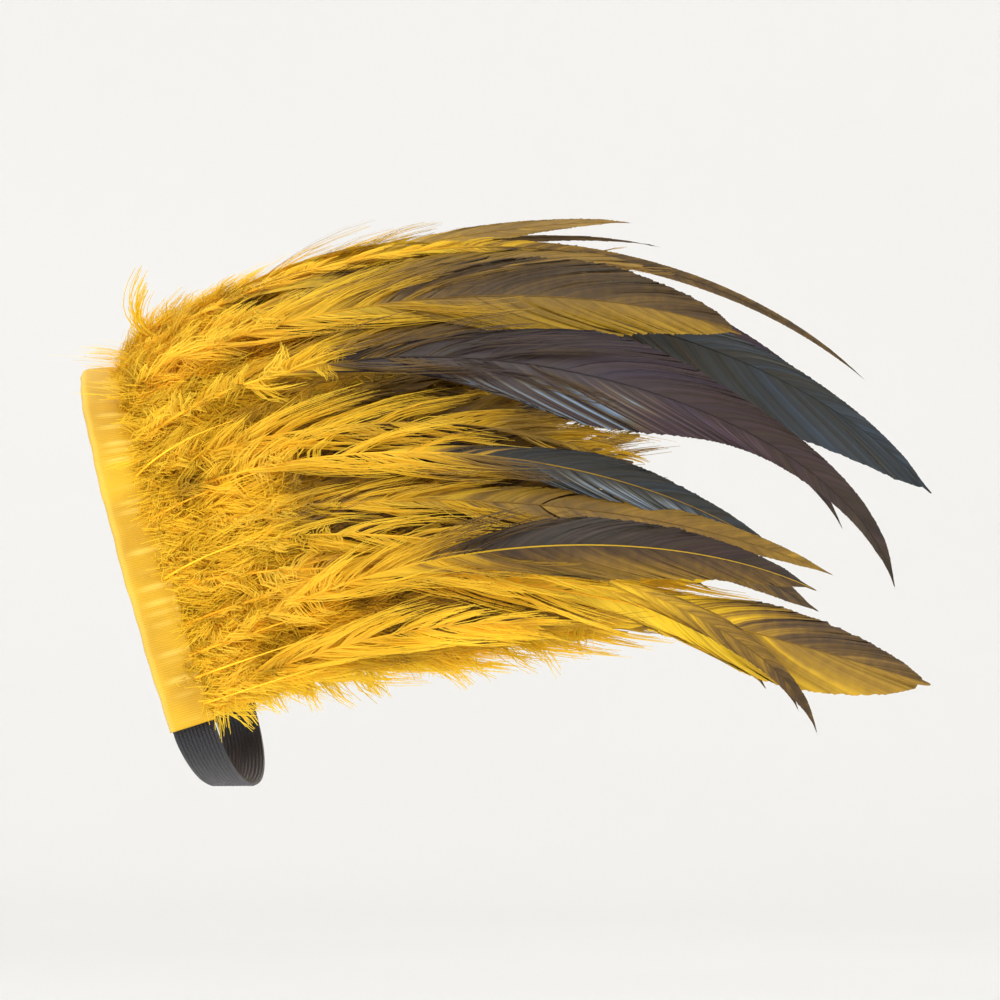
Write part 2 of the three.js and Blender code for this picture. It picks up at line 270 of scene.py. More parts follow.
def widthShare(look, share, hand):
    slim = look["slim"][(hand + 1) // 2]
    return np.interp(share, *look["profile"]) * (1 - slim * ease(*look["slimOver"], share))


# where a painted highlight lies on a vane, in streaks
def paintedGlintWindow(paintedGlint, along, steps, rng):
    ends = paintedGlintStreak["ends"]
    start = ease(paintedGlint["from"], paintedGlint["from"] + ends, along)
    stop = ease(paintedGlint["to"] - ends, paintedGlint["to"], along)
    streak = paintedGlintStreak["mean"] + paintedGlintStreak["varies"] * streaks(rng, len(along), paintedGlintStreak["wide"])
    streak = np.clip(streak, 0, paintedGlintStreak["most"])[:, None]
    return start * (1 - stop) * ease(*paintedGlintStreak["across"], steps) * streak


def addVane(batch, line, look, rng):
    # barb by barb on both sides of the shaft, split here and there
    length = line["length"]
    steps = np.linspace(0, 1, look["barbSteps"] + 1)[None]
    first = look["vaneFrom"]
    soft = look["soft"]
    half = look["width"] / 2
    count = int(length * (1 - first) / look["barbGap"])
    root = np.linspace(first, vane["rootTo"], count)
    opened = between(vane["shut"], 1, ease(0, look["openOver"], root - first))
    for hand in (-1, 1):
        sweep = look["sweep"] * half * widthShare(look, root, hand) / length
        sweep = np.minimum(sweep, vane["sweepMost"] * (1 - root))
        cuts = rng.uniform(0, 1, int(look["splits"] * soft)) ** vane["splitPower"]
        group = np.searchsorted(np.sort(between(first, look["splitTo"], cuts)), root)
        groups = len(cuts) + 1
        middle = np.array([root[group == g].mean() if (group == g).any() else 0 for g in range(groups)])
        stretch = rng.normal(1, softened(vane["groupStretch"], soft), groups)[group]
        stretch = stretch * rng.normal(1, softened(vane["barbStretch"], soft), count)
        lift = rng.normal(0, softened(vane["groupLift"], soft), groups)[group]
        along = root[:, None] + sweep[:, None] * ((1 - vane["curve"]) * steps + vane["curve"] * steps**2)
        along = along + softened(vane["gather"], soft) * (middle[group] - root)[:, None] * steps**2
        tipHalf = half * widthShare(look, np.clip(root + sweep, 0, 1), hand) * stretch * opened
        reach = hand * tipHalf[:, None] * ((1 + vane["bulge"]) * steps - vane["bulge"] * steps**2)
        ridge = rng.normal(0, vane["ridge"], (count, 1)) * steps
        sag = -look["cup"] * reach**2 / look["width"] + lift[:, None] * steps**2 + ridge
        paths = at(line, "points", along) + at(line, "side", along) * reach[..., None]
        paths = paths + at(line, "face", along) * sag[..., None]
        streak = streaks(rng, count, vane["streakWide"])[:, None] * vane["streakShared"]
        streak = streak + rng.normal(0, vane["streakOwn"], (count, 1))
        dark = darkness(look, along, np.abs(reach) / half, hand, streak)
        varied = streaks(rng, count, vane["toneWide"])[:, None]
        varied = varied + vane["toneOwn"] * rng.normal(size=(count, 1))
        tone = look["tone"] * (1 + (vane["toneGold"] + vane["toneDark"] * dark) * varied)
        tint = look["tint"](along) + vane["tintStreak"] * streak
        # painted highlights: each one brightens the colour in streaks and shifts it towards its tint
        for paintedGlint in look["glints"]:
            if paintedGlint["hand"] == hand:
                window = paintedGlintWindow(paintedGlint, along, steps, rng)
                tone = tone * (1 + paintedGlint["gain"] * window)
                tint = tint + (paintedGlint["tint"] - tint) * np.clip(window, 0, 1)
        plume = plumeOf(dark, tone, tint)
        for g in range(groups):
            own = group == g
            if own.sum() > 1:
                addGrid(batch, paths[None, own], plume[None, own])


# loose barbs: what varies between wisps and, inside a wisp, between barbs
barb = {
    "wispSize": (0.65, 1.15),
    "size": (0.5, 1.15),
    "rootStray": 1.4 * mm,
    "rootLimits": (0.004, 0.985),
    "swingStray": 0.1,
    "phaseStray": 0.5,
    "waveTurn": 6.5,
    "curlTurn": 10,
    "faceStray": 0.3,
    "taper": 0.7,
    "streakStray": 0.6,
    "edge": 0.8,
    # painted shade and light: barbs darker at the root, deep in the fluff, and lighter at the tip
    "rootTone": 0.98,
    "tipTone": 1.06,
    "toneStray": 0.05,
    "normalStray": 0.15,
}


def addBarbs(batch, line, look, kind, rng):
    # small wisps that wave, bend towards the tip and hang
    wisps = kind["wisps"]
    each = kind["each"]
    count = wisps * each
    length = line["length"]
    steps = np.linspace(0, 1, kind["steps"] + 1)[None]
    start = between(kind["from"], kind["to"], (np.arange(wisps) + rng.uniform(0, 1, wisps)) / wisps)
    hand = rng.choice([-1, 1], wisps)
    lean = hand * (kind["lean"] + rng.normal(0, kind["leanVaries"], wisps))
    size = kind["long"] * rng.uniform(*barb["wispSize"], wisps) * np.interp(start, *kind["profile"])
    swing = rng.normal(kind["ahead"][0], kind["aheadVaries"], wisps)
    root = np.repeat(start, each) + rng.normal(0, barb["rootStray"] / length, count)
    root = np.clip(root, *barb["rootLimits"])
    turn = (np.repeat(lean, each) + rng.normal(0, kind["spread"], count))[:, None]
    long = (np.repeat(size, each) * rng.uniform(*barb["size"], count))[:, None]
    swing = np.repeat(swing, each)[:, None] + rng.normal(0, barb["swingStray"], (count, 1))
    phase = np.repeat(rng.uniform(0, 2 * math.pi, (wisps, 2)), each, 0)[:, None]
    phase = phase + rng.normal(0, barb["phaseStray"], (count, 1, 2))
    ahead = at(line, "tangent", root)
    face = at(line, "face", root)
    off = face * np.cos(turn) + at(line, "side", root) * np.sin(turn)
    second = unit(np.cross(off, ahead))
    outwards = long * (steps - kind["bend"] * steps**2)
    onwards = long * (swing * steps + kind["ahead"][1] * steps**2)
    wave = long * kind["wave"] * steps * np.sin(barb["waveTurn"] * steps + phase[..., 0])
    curl = long * kind["wave"] * steps * np.sin(barb["curlTurn"] * steps + phase[..., 1])
    paths = at(line, "points", root)[:, None] + off[:, None] * outwards[..., None]
    paths = paths + ahead[:, None] * (onwards + curl)[..., None] + second[:, None] * wave[..., None]
    paths[..., 2] -= long * kind["hang"] * steps**2
    lead = np.repeat(paths.reshape(wisps, each, -1, 3)[:, :1], each, 1).reshape(paths.shape)
    paths = paths + (lead - paths) * (kind["cling"] * steps**2)[..., None]
    towards = face + rng.normal(0, barb["faceStray"], (count, 3))
    half = kind["wide"] / 2 * (1 - barb["taper"] * steps)
    along = root[:, None] + onwards / length
    streak = np.repeat(rng.normal(0, 1, wisps), each)[:, None]
    streak = streak + rng.normal(0, barb["streakStray"], (count, 1))
    dark = darkness(look, along, barb["edge"] * steps, np.repeat(hand, each)[:, None], streak)
    # mottle, partly painted shade in the fluff's pits; then the root painted darker and the tip lighter,
    # painted shade and light
    dark = np.clip(kind["fade"] * dark + kind["patch"] * mottleAndPaintedShade(paths), 0, 1)
    tone = look["tone"] * between(barb["rootTone"], barb["tipTone"], steps)
    tone = tone * rng.normal(1, barb["toneStray"], (count, 1))
    normals = unit(face + kind["puff"] * off + barb["normalStray"] * rng.normal(0, 1, (count, 3)))
    plume = plumeOf(dark, tone, look["tint"](along))
    addRibbons(batch, paths, towards[:, None], half[..., None], plume, normals[:, None])


# the fluff's olive and brown waves, a mottle, and its darker and lighter spots on the front: darker spots are
# partly the down's own brown and partly painted shade in deep pits, lighter ones painted light over shaded
# hollows;
# a spot's place along X and Z and its radius, all in mm, and how much darker it is
fluffMottleAndShade = {
    "seed": 5,
    "waves": 18,
    "long": (12 * mm, 34 * mm),
    "darkFrom": 0.5,
    "darkMost": 1.3,
    "dark": 0.2,
    "bright": 0.05,
    "spots": [
        (28, -10, 7, 0.2), (53, -30, 9, 0.1), (21, -62, 5, 0.2), (24, -41, 5, 0.12), (50, -56, 22, -0.05),
        (14, 0, 12, -0.08), (112, 16, 20, 0.14), (24, -22, 8, 0.1), (60, -20, 12, 0.2), (76, -47, 13, 0.26),
        (70, -76, 14, 0.26), (104, -60, 14, 0.16), (80, -6, 12, -0.15), (97, -20, 12, -0.15),
    ],
}


def waves(seed, count, shortest, longest):
    # a soft seeded pattern: a sum of plane waves over places in metres
    rng = np.random.default_rng(seed)
    way = unit(rng.normal(size=(count, 3)))
    turn = 2 * math.pi / rng.uniform(shortest, longest, (count, 1)) * way
    start = rng.uniform(0, 2 * math.pi, count)
    return lambda p: np.cos(p @ turn.T + start).sum(-1) / math.sqrt(count / 2)


patchWaves = waves(fluffMottleAndShade["seed"], fluffMottleAndShade["waves"], *fluffMottleAndShade["long"])


def mottleAndPaintedShade(paths):
    mark = patchWaves(paths)
    dark = fluffMottleAndShade["dark"] * np.clip(mark - fluffMottleAndShade["darkFrom"], 0, fluffMottleAndShade["darkMost"])
    dark = dark - fluffMottleAndShade["bright"] * np.clip(-mark, 0, 1)
    # spots on the front: the darker ones partly the down's own brown and partly painted shade, the lighter
    # ones painted light
    for x, z, radius, much in fluffMottleAndShade["spots"]:
        away = ((paths[..., 0] - x * mm) ** 2 + (paths[..., 2] - z * mm) ** 2) / (radius * mm) ** 2
        dark = dark + much * np.exp(-away) * (paths[..., 1] < 0)
    return dark


# materials are built from nodes; a socket is given a value or another node's output
def setSocket(tree, socket, value):
    if isinstance(value, bpy.types.NodeSocket):
        tree.links.new(value, socket)
    else:
        socket.default_value = value


def addNode(tree, kind, **sockets):
    # socket names are written in camelCase, without their spaces
    node = tree.nodes.new("ShaderNode" + kind)
    named = {socket.name.replace(" ", "").lower(): socket for socket in reversed(node.inputs)}
    for name, value in sockets.items():
        setSocket(tree, named[name.lower()], value)
    return node


def newMaterial(name):
    material = bpy.data.materials.new(name)
    material.use_nodes = True
    material.node_tree.nodes.clear()
    return material, material.node_tree


def linear(colour):
    # from screen values 0 to 255
    part = np.array(colour) / 255
    return tuple(np.where(part <= 0.04045, part / 12.92, ((part + 0.055) / 1.055) ** 2.4))


def ramp(tree, stops, factor):
    node = addNode(tree, "ValToRGB", fac=factor)
    elements = node.color_ramp.elements
    while len(elements) < len(stops):
        elements.new(0.5)
    for element, (place, colour) in zip(elements, stops):
        element.position = place
        element.color = (*linear(colour), 1)
    return node.outputs[0]


def mathNode(tree, operation, a, b):
    node = tree.nodes.new("ShaderNodeMath")
    node.operation = operation
    setSocket(tree, node.inputs[0], a)
    setSocket(tree, node.inputs[1], b)
    return node.outputs[0]


def mixColour(tree, kind, factor, a, b):
    node = tree.nodes.new("ShaderNodeMix")
    node.data_type = "RGBA"
    node.blend_type = kind
    for socket, value in zip((node.inputs[0], node.inputs[6], node.inputs[7]), (factor, a, b)):
        setSocket(tree, socket, value)
    return node.outputs[2]


def attribute(tree, name):
    node = tree.nodes.new("ShaderNodeAttribute")
    node.attribute_name = name
    return node


def noise(tree, scale, detail=2):
    place = tree.nodes.new("ShaderNodeTexCoord").outputs["Object"]
    return addNode(tree, "TexNoise", vector=place, scale=scale, detail=detail).outputs[0]


def threads(tree, layer, cloth):
    # fine threads across a band, and the relief that they give
    spread = tree.nodes.new("ShaderNodeUVMap")
    spread.uv_map = layer
    wave = addNode(tree, "TexWave", vector=spread.outputs[0], scale=cloth["threads"],
                   distortion=cloth["stray"])
    wave.bands_direction = "X"
    bump = addNode(tree, "Bump", strength=cloth["bump"], distance=cloth["relief"], height=wave.outputs[1])
    return wave, bump.outputs[0]


def coat(tree, shader):
    addNode(tree, "OutputMaterial", surface=shader.outputs[0])


featherColours = {
    "gold": [(0.0, (252, 217, 62)), (0.2, (240, 201, 42)), (0.38, (204, 163, 34)), (0.55, (150, 116, 36)),
             (0.72, (98, 74, 36)), (0.88, (58, 45, 33)), (1.0, (40, 33, 31))],
    # the dark feathers' colours, with the hue of their iridescent shine painted in
    "shine": [(0.0, (46, 56, 68)), (0.25, (44, 44, 39)), (0.5, (54, 43, 31)), (0.75, (54, 40, 41)),
              (1.0, (50, 39, 52))],
    "fleckScale": 420,
    "fleckDetail": 3,
    "shining": (0.66, 0.92),  # darkness at which the shine's colours come in
    "glossy": (0.3, 0.95),  # and over which the roughness changes
    "sheenRough": 0.4,
    "sheenTint": (1.0, 0.86, 0.5, 1),
    "through": 0.5,  # share of light that passes through
}
silkGloss = {"roughGold": 0.55, "roughDark": 0.38, "specular": 0.4, "sheen": 0.08, "fleck": 0.12}
downGloss = {"roughGold": 0.75, "roughDark": 0.6, "specular": 0.25, "sheen": 0.2, "fleck": 0.2}


def featherMaterial(name, gloss):
    material, tree = newMaterial(name)
    plume = addNode(tree, "SeparateXYZ", vector=attribute(tree, "plume").outputs["Vector"])
    dark, tone, tint = plume.outputs
    fleck = noise(tree, featherColours["fleckScale"], featherColours["fleckDetail"])
    fleck = mathNode(tree, "MULTIPLY", mathNode(tree, "SUBTRACT", fleck, 0.5), gloss["fleck"])
    dark = mathNode(tree, "ADD", dark, fleck)
    gold = ramp(tree, featherColours["gold"], dark)
    shine = ramp(tree, featherColours["shine"], mathNode(tree, "ADD", tint, fleck))
    low, high = featherColours["shining"]
    shining = addNode(tree, "MapRange", value=dark, fromMin=low, fromMax=high)
    shining.interpolation_type = "SMOOTHSTEP"
    colour = mixColour(tree, "MIX", shining.outputs[0], gold, shine)
    bright = addNode(tree, "CombineXYZ", x=tone, y=tone, z=tone).outputs[0]
    colour = mixColour(tree, "MULTIPLY", 1.0, colour, bright)
    low, high = featherColours["glossy"]
    rough = addNode(tree, "MapRange", value=dark, fromMin=low, fromMax=high,
                    toMin=gloss["roughGold"], toMax=gloss["roughDark"])
    skin = addNode(tree, "BsdfPrincipled", baseColor=colour, roughness=rough.outputs[0],
                   specularIorLevel=gloss["specular"], sheenWeight=gloss["sheen"],
                   sheenRoughness=featherColours["sheenRough"], sheenTint=featherColours["sheenTint"])
    through = addNode(tree, "BsdfTranslucent", color=colour)
    both = tree.nodes.new("ShaderNodeMixShader")
    for socket, value in zip(both.inputs, (featherColours["through"], skin.outputs[0], through.outputs[0])):
        setSocket(tree, socket, value)
    coat(tree, both)
    return material


silkFeather = featherMaterial("silk_feather", silkGloss)
softDown = featherMaterial("soft_down", downGloss)
print("feather materials made")

# the fringe: short feathers behind the tape, in three rows; sizes in mm, dark says from where to where
# along a feather it darkens and how far
fringe = {
    "rows": [
        {"name": "front", "node": "front_feather_row", "from": 0.0, "to": 0.335, "seed": 21, "full": 1.0},
        {"name": "crown", "node": "crown_feather_row", "from": 0.335, "to": 0.665, "seed": 22, "full": 1.0},
        {"name": "back", "node": "back_feather_row", "from": 0.665, "to": 1.0, "seed": 23, "full": 0.6},
    ],
    "fan": math.radians(4),
    "crownRise": 0.42,
    "slot": (3 * mm, 1.8 * mm),  # where the quills sit in the tape, out and up
    "scatter": (0.2, 0.9),  # of a feather's stretch of the tape
    "layers": [  # under, middle and top
        {"count": 18, "reach": (76, 100), "lift": 8, "tipLift": 16, "droop": 8, "width": 22,
         "inset": 0.05, "vaneFrom": 0.1, "fluff": 0, "silk": 6, "dark": (0.5, 1.1, 0.3)},
        {"count": 20, "reach": (92, 134), "lift": 13, "tipLift": 24, "droop": 10, "width": 13,
         "inset": 0.035, "vaneFrom": 0.42, "fluff": 26, "silk": 27, "dark": (0.34, 0.72, 0.66)},
        {"count": 20, "reach": (54, 92), "lift": 15, "tipLift": 19, "droop": 6, "width": 8,
         "inset": 0.02, "vaneFrom": 0.62, "fluff": 40, "silk": 12, "dark": (0.45, 0.98, 0.58)},
    ],
    # brown feathers that close the crown from behind
    "backing": {"count": 11, "reach": (108, 154), "lift": 25, "tipLift": 26, "droop": 14, "width": 22,
                "vaneFrom": 0.2, "fluff": 0, "silk": 8, "dark": (0.25, 0.65, 0.62)},
    # loose gold feathers along the tape's ends, whose fluff hangs over the lower edge: count and reach
    "hemEnds": {"front": (7, (88, 158)), "back": (3, (66, 100))},
    "hemShares": (0.012, 0.075),
    "hem": {"lift": 8, "tipLift": 14, "droop": 10, "width": 10, "vaneFrom": 0.7, "fluff": 24, "silk": 24,
            "dark": (0.45, 1.1, 0.4), "ownSilk": {"hang": 0.3},
            "ownFluff": {"to": 0.8, "hang": 0.45, "patch": 0.3}},
}
fluff = {
    "from": 0.03, "to": 0.7, "each": 14, "lean": 0.75, "leanVaries": 0.7, "spread": 0.42, "long": 11 * mm,
    "ahead": (0.25, 0.4), "aheadVaries": 0.35, "bend": 0.3, "wave": 0.12, "hang": 0.08, "cling": 0.3,
    "wide": 0.42 * mm, "steps": 3, "patch": 1.0, "puff": 0.3, "fade": 1.0,
    "profile": ([0, 0.1, 0.35, 0.7, 1], [0.8, 0.9, 1, 0.9, 0.7]),
}
silk = {
    "from": 0.3, "to": 0.95, "each": 12, "lean": 1.4, "leanVaries": 0.35, "spread": 0.25, "long": 12.5 * mm,
    "ahead": (1.8, 0.6), "aheadVaries": 0.35, "bend": 0.42, "wave": 0.06, "hang": 0.06, "cling": 0.22,
    "wide": 0.34 * mm, "steps": 4, "patch": 0.5, "puff": 0.05, "fade": 1.0,
    "profile": ([0, 0.3, 0.6, 0.85, 1], [0.7, 1, 0.95, 0.65, 0.25]),
}
# what all short feathers share, and how far they vary
short = {
    "stations": 26,
    "sides": 4,
    "near": {"along": 0.36, "fan": 0.15, "stray": 0.15},
    "far": {"along": 0.72, "fan": 0.6, "stray": 0.6, "lift": 0.6, "tipLift": 0.5},
    "liftVaries": (0.75, 1.15),
    "tipLiftVaries": (0.7, 1.15),
    "droopVaries": (0.4, 1.3),
    "droopEnds": 0.1,  # of the droop, where the tape stands upright
    "stray": 0.06,
    "roll": 0.3,
    "darkVaries": (0.7, 1.2),
    "goldEnds": {"dark": 0.5, "from": 0.02, "to": 0.14},  # feathers by the tape's ends stay gold
    "widthVaries": (0.85, 1.15),
    "base": (0.02, 0.15),
    "tone": (0.92, 1.08),
    "look": {
        "barbGap": 1.0 * mm, "barbSteps": 3, "sweep": 2.8, "openOver": 0.15, "slim": (0, 0),
        "slimOver": (0.5, 0.92), "soft": 0.5, "splits": 10, "splitTo": 0.9, "streak": 0.7, "cup": 0.25,
        "quill": 0.34 * mm, "shaftDark": 0.6, "glints": [],
        "profile": ([0, 0.08, 0.25, 0.5, 0.75, 0.9, 1], [0.25, 0.6, 0.92, 1, 0.85, 0.55, 0.08]),
    },
    "goldEdge": 0.25,
    "tint": 0.5,
}


def plainTint(share):
    return short["tint"] + 0 * share


def slotPlace(axes):
    point, run, out, up = axes
    return point + out * fringe["slot"][0] + up * fringe["slot"][1]


def fringeTip(axes, share, reach, raised, fan):
    point, run, out, up = axes
    turn = fan * (2 * share - 1)
    return point + (out * math.cos(turn) + run * math.sin(turn)) * reach + up * raised


def shortFeather(share, layer, rng):
    axes = tapeFrame(share)
    point, run, out, up = axes
    rise = 1 + fringe["crownRise"] * up[2] ** 2
    reach = rng.uniform(*layer["reach"]) * mm
    lift = layer["lift"] * mm * rise * rng.uniform(*short["liftVaries"])
    tipLift = layer["tipLift"] * mm * rise * rng.uniform(*short["tipLiftVaries"])
    stray = run * reach * rng.normal(0, short["stray"])
    fan = fringe["fan"]
    bend = short["near"]
    near = fringeTip(axes, share, bend["along"] * reach, lift, bend["fan"] * fan) + bend["stray"] * stray
    bend = short["far"]
    raised = bend["lift"] * lift + bend["tipLift"] * tipLift
    far = fringeTip(axes, share, bend["along"] * reach, raised, bend["fan"] * fan) + bend["stray"] * stray
    tip = fringeTip(axes, share, reach, tipLift, fan) + stray
    tip[2] -= layer["droop"] * mm * rng.uniform(*short["droopVaries"]) * between(short["droopEnds"], 1, up[2])
    line = shaftLine([(slotPlace(axes), near, far, tip)], short["stations"])
    turnShaft(line, up, rng.normal(0, short["roll"]), rng.normal(0, short["roll"]))
    start, end, most = layer["dark"]
    ends = short["goldEnds"]
    most = most * rng.uniform(*short["darkVaries"])
    most = most * between(ends["dark"], 1, ease(ends["from"], ends["to"], min(share, 1 - share)))
    look = {
        **short["look"],
        "width": layer["width"] * mm * rng.uniform(*short["widthVaries"]),
        "vaneFrom": layer["vaneFrom"],
        "dark": {"from": start, "to": end, "most": most, "upper": 0, "goldEdge": short["goldEdge"],
                 "base": rng.uniform(*short["base"])},
        "tone": rng.uniform(*short["tone"]),
        "tint": plainTint,
    }
    return line, look


def addShortFeather(down, vanes, share, layer, full, rng):
    line, look = shortFeather(share, layer, rng)
    addShaft(vanes, line, look, short["sides"])
    addVane(vanes, line, look, rng)
    ownSilk = {**silk, **layer.get("ownSilk", {}), "wisps": int(layer["silk"] * full)}
    addBarbs(vanes, line, look, ownSilk, rng)
    if layer["fluff"]:
        ownFluff = {**fluff, **layer.get("ownFluff", {}), "wisps": int(layer["fluff"] * full)}
        addBarbs(down, line, look, ownFluff, rng)


# short fluff in tufts out of the tape's open edge, some of it back over the tape: lengths in mm,
# each as least, most and how far a tuft's barbs stray from it
cuff = {
    "tufts": 212,
    "each": 8,
    "points": 5,
    "inset": 0.012,  # of the tape's length, at each end
    "shareStray": 0.004,
    "back": (-9, 10, 1.6),
    "high": (1.8, 5.5, 0.6),
    "drift": (-5, 5, 1.0),
    "out": (5.5, 14, 0.9),
    "up": (2.2, 4, 0.3),
    "ahead": 5,
    "crest": 2.5,  # further back at the crest
    "crestFrom": 0.7,
    "crestRise": 0.6,
    "climb": (1.5, 0.65),
    "half": 0.18 * mm,
    "taper": 0.7,
    "faceStray": 0.3,
    "dark": 0.06,
    # painted shade and light: tufts darker at the root by the tape and lighter at the tip
    "rootTone": 0.96,
    "tipTone": 1.06,
    "colourStray": 0.05,
    "puff": 0.2,
    "normalStray": 0.15,
}


def addCuff(batch, row, rng):
    tufts = int(cuff["tufts"] * row["full"])
    count = tufts * cuff["each"]

    def tufted(low, high, stray):
        shared = np.repeat(rng.uniform(low, high, (tufts, 1)), cuff["each"], 0)
        return shared + rng.normal(0, stray, (count, 1))

    steps = np.linspace(0, 1, cuff["points"])[None, :, None]
    share = tufted(row["from"], row["to"], cuff["shareStray"])[:, 0]
    point, run, out, up = tapeFrame(between(cuff["inset"], 1 - cuff["inset"], share))
    rise = 1 + cuff["crestRise"] * np.clip(up[:, 2:], 0, 1)
    crest = cuff["crest"] * ease(cuff["crestFrom"], 1, up[:, 2:])
    back = (tufted(*cuff["back"]) + crest) * mm * rise
    high = tufted(*cuff["high"]) * mm * rise
    drift = tufted(*cuff["drift"]) * mm
    first = point + out * tufted(*cuff["out"]) * mm + up * tufted(*cuff["up"]) * mm
    climb = cuff["climb"][0] * steps - cuff["climb"][1] * steps**2
    paths = first[:, None] + out[:, None] * (cuff["ahead"] * mm * steps - back[:, None] * steps**2)
    paths = paths + up[:, None] * (high[:, None] * climb) + run[:, None] * drift[:, None] * steps
    towards = (up + rng.normal(0, cuff["faceStray"], (count, 3)))[:, None]
    half = cuff["half"] * (1 - cuff["taper"] * steps)
    # mottle with painted shade and light from the fluff's waves and spots; root painted darker, tip lighter
    dark = cuff["dark"] + mottleAndPaintedShade(paths) + rng.normal(0, cuff["colourStray"], (count, 1))
    tone = between(cuff["rootTone"], cuff["tipTone"], steps[..., 0])
    tone = tone * rng.normal(1, cuff["colourStray"], (count, 1))
    normals = up[:, None] + cuff["puff"] * out[:, None]
    normals = unit(normals + cuff["normalStray"] * rng.normal(0, 1, (count, 1, 3)))
    addRibbons(batch, paths, towards, half, plumeOf(np.clip(dark, 0, 1), tone, short["tint"]), normals)


# bare quills that show over the front fluff: share along the tape and length in mm
bareQuill = {
    "spots": [(0.02, 34), (0.05, 42), (0.075, 50), (0.11, 66), (0.165, 30), (0.235, 48), (0.29, 30)],
    "bends": [(0.3, 15), (0.65, 22), (1.0, 25)],  # share of the length, and height in mm
    "stations": 20,
    "sides": 5,
    "look": {"quill": 0.4 * mm, "shaftDark": 1.0, "tone": 1.2, "tint": plainTint, "streak": 0,
             "dark": {"from": 1, "to": 2, "most": 0, "upper": 0, "goldEdge": 0, "base": 0.02}},
}


def addBareQuill(batch, share, length):
    axes = tapeFrame(share)
    bends = [fringeTip(axes, share, along * length * mm, high * mm, 0) for along, high in bareQuill["bends"]]
    line = shaftLine([(slotPlace(axes), *bends)], bareQuill["stations"])
    turnShaft(line, axes[3], 0.0)
    addShaft(batch, line, bareQuill["look"], bareQuill["sides"])


# a small curled tuft that stands up by the crest, in mm
crestWisp = {
    "count": 30,
    "points": 8,
    "root": (13, -8, 12),
    "rootStray": 0.9,
    "lean": (-23, 0, 10),
    "curl": (19, -1, 8),
    "size": (0.6, 1.05),
    "fray": 1.1,
    "frayTo": 1.3,
    "half": 0.2,
    "taper": 0.6,
    "face": (0, -1, 0.3),
    "faceStray": 0.4,
    "dark": 0.2,
    "darkStray": 0.06,
    "normal": (-0.3, -1, 0.4),
    "normalStray": 0.3,
}


def addCrestWisp(batch, rng):
    count = crestWisp["count"]
    steps = np.linspace(0, 1, crestWisp["points"])[None, :, None]
    first = np.array(crestWisp["root"]) * mm + rng.normal(0, crestWisp["rootStray"] * mm, (count, 1, 3))
    size = rng.uniform(*crestWisp["size"], (count, 1, 1))
    curve = np.array(crestWisp["lean"]) * mm * steps + np.array(crestWisp["curl"]) * mm * steps**2
    fray = rng.normal(0, crestWisp["fray"] * mm, (count, 1, 3)) * steps * (crestWisp["frayTo"] - steps)
    paths = first + size * curve + fray
    towards = np.array(crestWisp["face"]) + rng.normal(0, crestWisp["faceStray"], (count, 1, 3))
    half = crestWisp["half"] * mm * (1 - crestWisp["taper"] * steps)
    dark = crestWisp["dark"] + rng.normal(0, crestWisp["darkStray"], (count, 1)) + 0 * steps[..., 0]
    normals = np.array(crestWisp["normal"]) + crestWisp["normalStray"] * rng.normal(0, 1, (count, 1, 3))
    addRibbons(batch, paths, towards, half, plumeOf(np.clip(dark, 0, 1), 1.0, short["tint"]), unit(normals))


for row in fringe["rows"]:
    rng = np.random.default_rng(row["seed"])
    down = newBatch()
    vanes = newBatch()
    addCuff(down, row, rng)
    for layer in fringe["layers"]:
        inset = layer["inset"]  # keeps wide feathers inside the tape's ends
        for i in range(layer["count"]):
            place = (i + rng.uniform(*fringe["scatter"])) / layer["count"]
            share = between(inset, 1 - inset, between(row["from"], row["to"], place))
            addShortFeather(down, vanes, share, layer, row["full"], rng)
    count, reach = fringe["hemEnds"].get(row["name"], (0, None))
    for share in np.linspace(*fringe["hemShares"], count):
        if row["name"] == "back":
            share = 1 - share
        addShortFeather(down, vanes, share, {**fringe["hem"], "reach": reach}, 1, rng)
    if row["name"] == "front":
        for share, length in bareQuill["spots"]:
            addBareQuill(vanes, share, length)
    if row["name"] == "crown":
        backing = fringe["backing"]
        for i in range(backing["count"]):
            share = between(row["from"], row["to"], (i + 0.5) / backing["count"])
            addShortFeather(down, vanes, share, backing, 1, rng)
        addCrestWisp(down, rng)
    downPiece = makePiece(row["name"] + "_down", down, softDown)
    vanePiece = makePiece(row["name"] + "_short_feathers", vanes, silkFeather)
    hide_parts(row["node"])
    for piece in (downPiece, vanePiece):
        print(piece.name, 2 * len(piece.data.polygons), "triangles")

# what all long tail feathers share, unless their row in the table says otherwise
tail = {
    "root": 12 * mm,
    "slotRun": 3 * mm,
    "lead": 4 * mm,
    "near": {"along": 0.3, "rise": 1.2},
    "far": 0.75,
    "stations": 50,
    "sides": 6,
    "vaneFrom": 0.28,
    "barbGap": 0.6 * mm,
    "barbSteps": 4,
    "sweep": 2.6,
    "openOver": 0.25,
    "cup": 0.3,
    "quill": 0.5 * mm,
    "slim": (0, 0),
    "slimOver": (0.5, 0.92),
    "splits": 8,
    "splitTo": 0.66,
    "streak": 0.45,
    "shaftDark": 0.95,
    "upper": 0,
    "goldEdge": 0.12,
    "base": 0.1,
    "toneVaries": (0.95, 1.05),
    "tint": (0.5, 0.5, 0.5),
    "tintAt": (0.2, 0.6, 1.0),
    "glints": [],
    "looseTo": 0.5,
    "fullWidth": 14,  # narrower feathers have shorter loose barbs
    "profile": ([0, 0.14, 0.3, 0.48, 0.64, 0.78, 0.9, 0.96, 1],
                [0.3, 0.62, 0.88, 1, 0.95, 0.75, 0.45, 0.26, 0.04]),
}
tailFluff = {**fluff, "from": 0.04, "to": 0.28, "wisps": 20, "each": 12, "long": 12 * mm, "fade": 0.6,
             "spread": 0.25, "cling": 0.45}
tailSilk = {**silk, "from": 0.16, "to": tail["looseTo"], "wisps": 18, "long": 15 * mm, "fade": 0.74}
